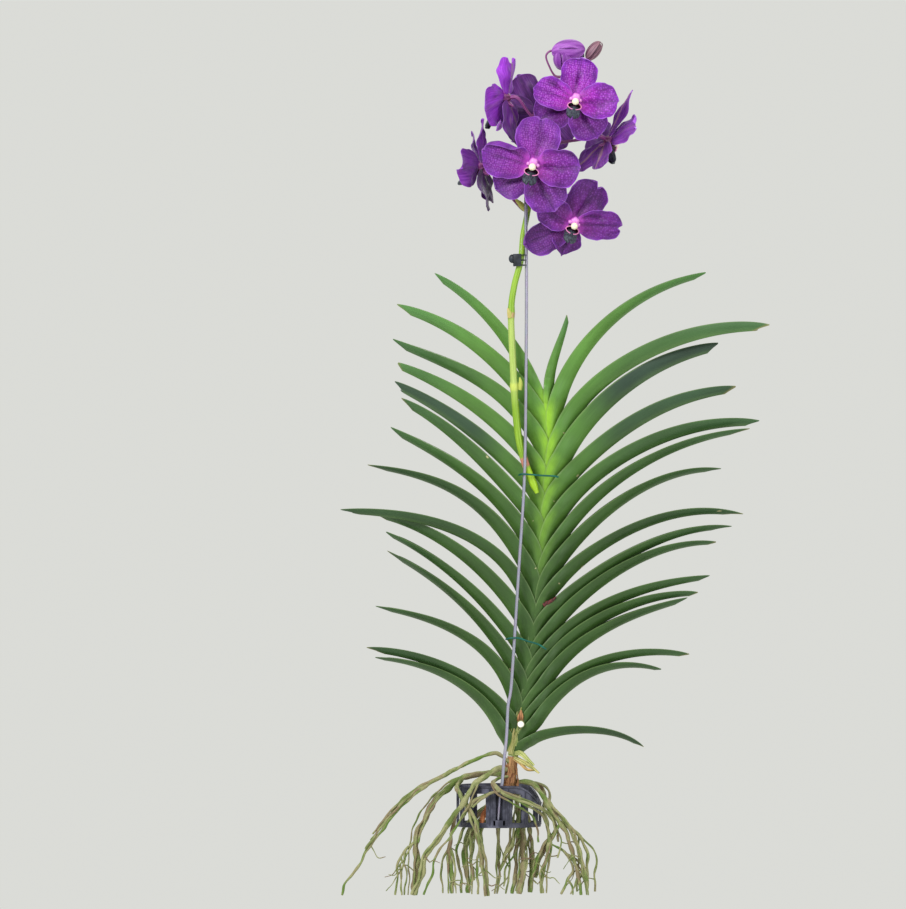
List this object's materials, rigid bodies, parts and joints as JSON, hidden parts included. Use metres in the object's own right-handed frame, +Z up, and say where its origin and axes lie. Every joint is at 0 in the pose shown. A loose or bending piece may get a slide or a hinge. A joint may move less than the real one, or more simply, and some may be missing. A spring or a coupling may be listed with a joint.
{
  "type": "vanda orchid in a hanging basket",
  "caption": "Bare-rooted vanda orchid with violet flowers and two ranks of strap leaves, in a small slotted basket that hangs on a wire with a hook.",
  "frame": {"origin": "seat of the hanging hook: the highest point inside its bend, where a rail carries it", "axes": "+Z up along the plant, -Y to the front that the main flowers face, +X to the plant's right as seen from the front"},
  "size_m": [0.4304, 0.1219, 0.8559],
  "materials": {
    "leaf": "waxy mid green living leaf, darker on its upper face, lime at its base",
    "sheath": "waxy pale green leaf sheaths, fibrous and brown at the stem's foot",
    "spike": "smooth yellow-green flower stalk with a brown scar at one node",
    "petal": "soft violet petals with a lighter chequered net and pale edges",
    "bud": "violet bud with darker folds",
    "bud_dusky": "dusky pink bud with tan stripes",
    "wire": "dull galvanised wire",
    "tie": "teal-green plastic-coated tie wire",
    "clip": "black moulded plastic",
    "basket": "near-black moulded plastic with a dusty bloom",
    "bark": "rough orange-brown bark",
    "root": "matt silver-green aerial root with brown weathered stretches"
  },
  "bodies": {
    "root": {"bark_chip": "bark", "basket": "basket", "bloom_back": "petal", "bloom_front_low": "petal", "bloom_front_middle": "petal", "bloom_front_top": "petal", "bloom_left_low": "petal", "bloom_left_top": "petal", "bloom_right": "petal", "bud_large": "bud", "bud_small": "bud_dusky", "clip_high": "clip", "clip_low": "clip", "flower_spike": "spike", "hanging_wire": "wire", "leaf_centre": "leaf", "leaf_left_01": "leaf", "leaf_left_02": "leaf", "leaf_left_03": "leaf", "leaf_left_04": "leaf", "leaf_left_05": "leaf", "leaf_left_06": "leaf", "leaf_left_07": "leaf", "leaf_left_08": "leaf", "leaf_left_09": "leaf", "leaf_left_10": "leaf", "leaf_left_11": "leaf", "leaf_left_12": "leaf", "leaf_left_13": "leaf", "leaf_left_14": "leaf", "leaf_left_15": "leaf", "leaf_right_01": "leaf", "leaf_right_02": "leaf", "leaf_right_03": "leaf", "leaf_right_04": "leaf", "leaf_right_05": "leaf", "leaf_right_06": "leaf", "leaf_right_07": "leaf", "leaf_right_08": "leaf", "leaf_right_09": "leaf", "leaf_right_10": "leaf", "leaf_right_11": "leaf", "leaf_right_12": "leaf", "leaf_right_13": "leaf", "leaf_right_14": "leaf", "leaf_right_15": "leaf", "leaf_right_16": "leaf", "roots": "root", "stem": "sheath", "tie_lower": "tie", "tie_upper": "tie", "wire_hook": "wire"}
  },
  "joints": []
}
